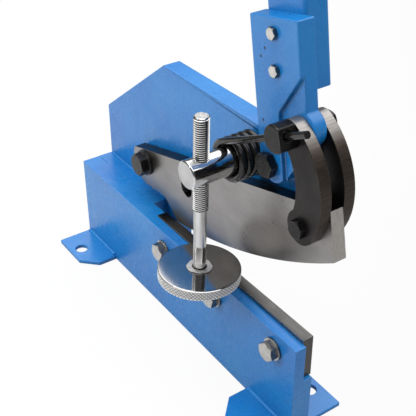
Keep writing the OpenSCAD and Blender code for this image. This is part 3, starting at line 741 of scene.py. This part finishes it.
def make_collar():
    """Dull, slightly uneven ring where the disc is staked on the spindle."""
    low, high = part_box("clamp_collar")
    reach = (high.x - low.x) / 2
    bpy.ops.mesh.primitive_cylinder_add(vertices=48, radius=reach, depth=high.z - low.z,
                                        location=middle("clamp_collar"))
    collar = fresh("collar_dressed")
    apply_all(collar)
    shrunk = 0.95
    for vertex in collar.data.vertices:
        out = vertex.co - SPINDLE_AXIS
        angle = math.atan2(out.y, out.x)
        uneven = 0.03 * math.sin(3 * angle + 0.7) + 0.02 * math.sin(8 * angle)
        vertex.co.x = SPINDLE_AXIS.x + out.x * (shrunk + uneven)
        vertex.co.y = SPINDLE_AXIS.y + out.y * (shrunk + uneven)
    break_edges(collar, width=0.25 * MM, segments=2, angle=40)
    lean_disc(collar)
    smooth(collar, 40)
    keep_flat(collar)
    hand_over(collar, "disc", "turned_steel", DULL_ZINC, "clamp_collar")


# Return spring: one round wire along the coil and its two legs

WIRE = 5.3 * MM
COIL_RADIUS = 14.8 * MM
COIL_PITCH = 5.95 * MM
WHOLE_TURNS = 4
LEG_BEYOND_PIN = 28 * MM
LOWER_LEG_REACH = 15 * MM
LEG_BEND = 4.2 * MM
LEG_IN_PLATE = 8 * MM
LEG_Y = (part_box("near_link")[0].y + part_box("link_pin_post")[0].y) / 2


def spring_line():
    """Points along the middle of the wire, from the upper leg's end to the plate."""
    to_pin = PIN_AXIS - ROD_AXIS
    leg_angle = math.atan2(to_pin.z, to_pin.x) - math.asin(COIL_RADIUS / to_pin.length)
    leg = Vector((math.cos(leg_angle), 0, math.sin(leg_angle)))
    side = Vector((-leg.z, 0, leg.x))
    base = ROD_AXIS + Vector((0, LEG_Y, 0)) + COIL_RADIUS * side
    reach = math.sqrt(to_pin.length ** 2 - COIL_RADIUS ** 2) + LEG_BEYOND_PIN
    back = Vector((0, 1, 0))
    points = [base + leg * (reach * share) for share in (1, 0.75, 0.5, 0.25, 0.08)]
    start = leg_angle + math.pi / 2
    end = math.pi * 1.5 + 2 * math.pi * WHOLE_TURNS
    steps = 150
    for i in range(steps + 1):
        angle = start + (end - start) * i / steps
        around = Vector((math.cos(angle), 0, math.sin(angle)))
        rise = COIL_PITCH * (angle - start) / (2 * math.pi)
        points.append(ROD_AXIS + COIL_RADIUS * around + back * (LEG_Y + rise))
    low = points[-1]
    across = Vector((1, 0, 0))
    corner = low + across * (LOWER_LEG_REACH - LEG_BEND) + back * LEG_BEND
    bend_steps = 6
    for i in range(bend_steps + 1):
        angle = math.pi / 2 * i / bend_steps
        points.append(corner + LEG_BEND * (math.sin(angle) * across - math.cos(angle) * back))
    points.append(Vector((low.x + LOWER_LEG_REACH, PLATE_LOW.y + LEG_IN_PLATE, low.z)))
    return points


def make_spring():
    points = spring_line()
    curve = bpy.data.curves.new("spring_dressed", "CURVE")
    curve.dimensions = "3D"
    curve.bevel_depth = WIRE / 2
    curve.bevel_resolution = 5
    curve.use_fill_caps = True
    spline = curve.splines.new("POLY")
    spline.points.add(len(points) - 1)
    for place, point in zip(spline.points, points):
        place.co = (*point, 1)
    spring = bpy.data.objects.new("spring_dressed", curve)
    bpy.context.scene.collection.objects.link(spring)
    make_active(spring)
    bpy.ops.object.convert(target="MESH")
    break_edges(spring, width=0.6 * MM, segments=2, angle=60)
    merge(spring)
    smooth(spring, 50)
    spring.data.materials.clear()
    spring.data.materials.append(SPRING_BLACK)
    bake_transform(spring)
    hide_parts("torsion_spring")


# Welds between the feet and the bed, and between the bed and the spacer block

def weld(name, start, end, radius, phase):
    """A painted bead from start to end, with a fine ripple and a slow one that the phase shifts."""
    run = Vector(end) - Vector(start)
    ring_step = 1.2 * MM
    rings = max(6, int(run.length / ring_step))
    bpy.ops.mesh.primitive_cylinder_add(vertices=14, radius=radius, depth=run.length)
    bead = fresh(name)
    pick_long_edges(bead, run.length)
    bpy.ops.mesh.subdivide(number_cuts=rings)
    bpy.ops.object.mode_set(mode="OBJECT")
    fine = 2.6 * MM
    fine_swell = 0.07
    slow = 7.3 * fine
    slow_swell = 0.05
    for vertex in bead.data.vertices:
        swell = 1 + fine_swell * math.sin(2 * math.pi * vertex.co.z / fine)
        swell += slow_swell * math.sin(2 * math.pi * vertex.co.z / slow + phase)
        vertex.co.x *= swell
        vertex.co.y *= swell
    aim = run.to_track_quat("Z", "Y").to_matrix().to_4x4()
    bead.data.transform(Matrix.Translation((Vector(start) + Vector(end)) / 2) @ aim)
    smooth(bead, 60)
    hand_over(bead, "frame", "blue_paint", ENAMEL)


def make_welds():
    bead = 2.2 * MM
    thin_bead = 1.5 * MM
    inset = 2 * MM
    for node in ("rear_near_foot", "rear_far_foot", "front_near_foot", "front_far_foot"):
        low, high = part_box(node)
        side = BED_LOW.y if low.y < BED_LOW.y else BED_HIGH.y
        weld(node.replace("foot", "weld"), (low.x + inset, side, high.z),
             (high.x - inset, side, high.z), bead, phase=low.x)
    corner = 2.5 * MM
    weld("spacer_weld", (SPACER_LOW.x + corner, BED_HIGH.y, SPACER_LOW.z),
         (SPACER_HIGH.x - corner, BED_HIGH.y, SPACER_LOW.z), bead, phase=1.0)
    weld("plate_weld", (SPACER_LOW.x + corner, PLATE_LOW.y, SPACER_HIGH.z),
         (SPACER_HIGH.x - corner, PLATE_LOW.y, SPACER_HIGH.z), thin_bead, phase=2.0)


# Camera, floor and lights

CAMERA_PLACE = Vector((504.14, -322.08, 522.39)) * MM
CAMERA_RIGHT = Vector((0.5693, 0.8221, 0.0))
CAMERA_UP = Vector((-0.4600, 0.3186, 0.8288))
CAMERA_LENS = 74.03
LAMPS_AIM = Vector((0, 0, 0.15))


def make_camera():
    data = bpy.data.cameras.new("camera")
    data.lens = CAMERA_LENS
    data.sensor_width = 36
    data.clip_start = 0.01
    camera = bpy.data.objects.new("camera", data)
    back = CAMERA_RIGHT.cross(CAMERA_UP)
    turn = Matrix((CAMERA_RIGHT, CAMERA_UP, back)).transposed()
    camera.matrix_world = Matrix.Translation(CAMERA_PLACE) @ turn.to_4x4()
    bpy.context.scene.collection.objects.link(camera)
    bpy.context.scene.camera = camera


def seen_share(material, camera, glossy):
    """The share of plain white that camera and transmission rays see, and glossy rays."""
    path = add(material, "ShaderNodeLightPath")
    straight = add(material, "ShaderNodeMath", operation="MAXIMUM")
    bright = add(material, "ShaderNodeMath", operation="MULTIPLY")
    bright.inputs[1].default_value = camera
    total = add(material, "ShaderNodeMath", operation="MULTIPLY_ADD")
    total.inputs[1].default_value = glossy
    wire(material, path.outputs["Is Camera Ray"], straight.inputs[0])
    wire(material, path.outputs["Is Transmission Ray"], straight.inputs[1])
    wire(material, straight.outputs[0], bright.inputs[0])
    wire(material, path.outputs["Is Glossy Ray"], total.inputs[0])
    wire(material, bright.outputs[0], total.inputs[2])
    return total.outputs[0]


def make_floor():
    just_below = -0.05 * MM
    bpy.ops.mesh.primitive_plane_add(size=12, location=(0, 0, just_below))
    floor = fresh("floor")
    material, shader = new_material("pale floor", Roughness=0.9, Specular_IOR_Level=0.0)
    place = add(material, "ShaderNodeTexCoord")
    # Painted shade: the floor's colour fades from pale at the front left to dark at the back right,
    # standing in for a dark side of the room in reflections and in the light the floor throws back.
    aside = add(material, "ShaderNodeVectorMath", operation="DOT_PRODUCT")
    aside.inputs[1].default_value = Vector((1, 1, 0)).normalized()
    wire(material, place.outputs["Object"], aside.inputs[0])
    pale = ramp(material, aside.outputs["Value"], (0.0, 0.50), (0.3, 0.22))
    wire(material, pale, shader.inputs["Base Color"])
    output = material.node_tree.nodes["Material Output"]
    seen = seen_share(material, camera=0.93, glossy=0.06)
    glow = add(material, "ShaderNodeEmission")
    mixed = add(material, "ShaderNodeMixShader")
    wire(material, seen, mixed.inputs[0])
    wire(material, shader.outputs[0], mixed.inputs[1])
    wire(material, glow.outputs[0], mixed.inputs[2])
    wire(material, mixed.outputs[0], output.inputs["Surface"])
    floor.data.materials.append(material)


def make_lamp(name, place, size, power, mirrored=True):
    data = bpy.data.lights.new(name, "AREA")
    data.shape = "DISK"
    data.size = size
    data.energy = power
    lamp = bpy.data.objects.new(name, data)
    lamp.location = place
    lamp.visible_glossy = mirrored
    lamp.rotation_euler = (LAMPS_AIM - Vector(place)).to_track_quat("-Z", "Y").to_euler()
    bpy.context.scene.collection.objects.link(lamp)


def make_world():
    """Light tent: white overhead and dark at the horizon, plain white behind the object."""
    world = bpy.data.worlds.new("studio")
    bpy.context.scene.world = world
    world.use_nodes = True
    nodes = world.node_tree.nodes
    tent = nodes["Background"]
    tent.inputs["Strength"].default_value = 2.7
    place = add(world, "ShaderNodeTexCoord")
    height = add(world, "ShaderNodeVectorMath", operation="DOT_PRODUCT")
    height.inputs[1].default_value = Vector((-0.08, 0.16, 1)).normalized()
    wire(world, place.outputs["Generated"], height.inputs[0])
    shade = ramp(world, height.outputs["Value"], (0.0, 0.03), (0.52, 0.06), (0.70, 1.0))
    wire(world, shade, tent.inputs["Color"])
    plain = add(world, "ShaderNodeBackground")
    plain.inputs["Color"].default_value = (1, 1, 1, 1)
    mixed = add(world, "ShaderNodeMixShader")
    wire(world, seen_share(world, camera=1.0, glossy=0.04), mixed.inputs[0])
    wire(world, tent.outputs[0], mixed.inputs[1])
    wire(world, plain.outputs[0], mixed.inputs[2])
    wire(world, mixed.outputs[0], nodes["World Output"].inputs["Surface"])


def make_lights():
    make_lamp("top softbox", (-0.25, -0.25, 1.6), size=0.9, power=3.5)
    make_lamp("left softbox", (-0.6, -1.3, 0.8), size=0.8, power=15.5, mirrored=False)
    make_lamp("left spot", (-0.2, -1.0, 0.9), size=0.12, power=1.2)
    make_lamp("right softbox", (1.35, 0.45, 0.7), size=0.8, power=5.5, mirrored=False)


bpy.context.scene.view_settings.view_transform = "Standard"
make_camera()
make_floor()
make_world()
make_lights()
dress_rigid_nodes()
make_spindle()
make_disc()
make_collar()
make_spring()
make_welds()
dress("handle_grip", "lever", "grip_rubber", RUBBER, 2.0 * MM, segments=4)
